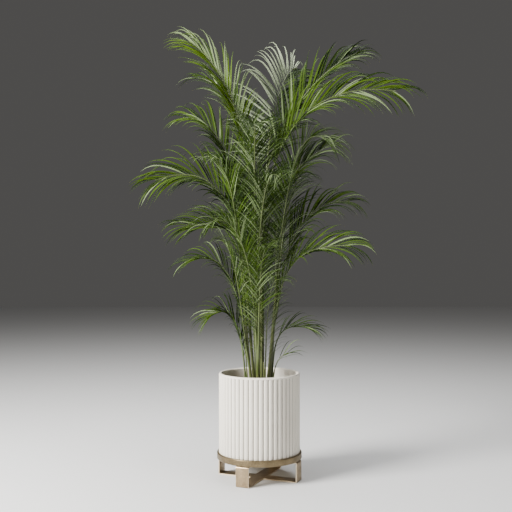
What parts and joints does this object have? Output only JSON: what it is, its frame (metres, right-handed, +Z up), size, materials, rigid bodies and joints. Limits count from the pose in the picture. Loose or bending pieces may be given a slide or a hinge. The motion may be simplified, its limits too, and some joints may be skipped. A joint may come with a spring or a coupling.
{
  "type": "potted areca palm",
  "caption": "Tall clump of slender palm canes with arching feather fronds, in a round fluted planter that stands on a low crossed flat-bar stand. Indoor plant.",
  "frame": {"origin": "on the flat underside of the stand, at the planter's axis, where the stand's two loops cross", "axes": "+Z up along the planter's axis, -Y towards the front, +X to the right as seen from the front; the stand is turned 23.3 degrees about +Z"},
  "size_m": [1.2319, 1.0834, 1.959],
  "materials": {
    "planter_white": "matt, vertically reeded",
    "champagne_metal": "brushed champagne",
    "compost": "loose and dark",
    "cane_green": "smooth, ringed with leaf scars",
    "frond_green": "satin leaf"
  },
  "bodies": {
    "root": {"cane_back": "cane_green", "cane_front": "cane_green", "cane_left_back": "cane_green", "cane_left_front": "cane_green", "cane_middle_back": "cane_green", "cane_middle_front": "cane_green", "cane_right_back": "cane_green", "cane_right_front": "cane_green", "compost": "compost", "frond_back_1": "frond_green", "frond_back_2": "frond_green", "frond_back_3": "frond_green", "frond_back_4": "frond_green", "frond_back_5": "frond_green", "frond_back_6": "frond_green", "frond_back_7": "frond_green", "frond_back_8": "frond_green", "frond_front_1": "frond_green", "frond_front_2": "frond_green", "frond_front_3": "frond_green", "frond_front_4": "frond_green", "frond_front_5": "frond_green", "frond_left_1": "frond_green", "frond_left_2": "frond_green", "frond_left_3": "frond_green", "frond_left_4": "frond_green", "frond_left_5": "frond_green", "frond_left_6": "frond_green", "frond_left_7": "frond_green", "frond_left_8": "frond_green", "frond_right_1": "frond_green", "frond_right_10": "frond_green", "frond_right_2": "frond_green", "frond_right_3": "frond_green", "frond_right_4": "frond_green", "frond_right_5": "frond_green", "frond_right_6": "frond_green", "frond_right_7": "frond_green", "frond_right_8": "frond_green", "frond_right_9": "frond_green", "planter": "planter_white", "stand_half_left": "champagne_metal", "stand_half_right": "champagne_metal", "stand_loop": "champagne_metal", "stand_ring": "champagne_metal", "stub_short": "cane_green", "stub_tall": "cane_green"}
  },
  "joints": []
}
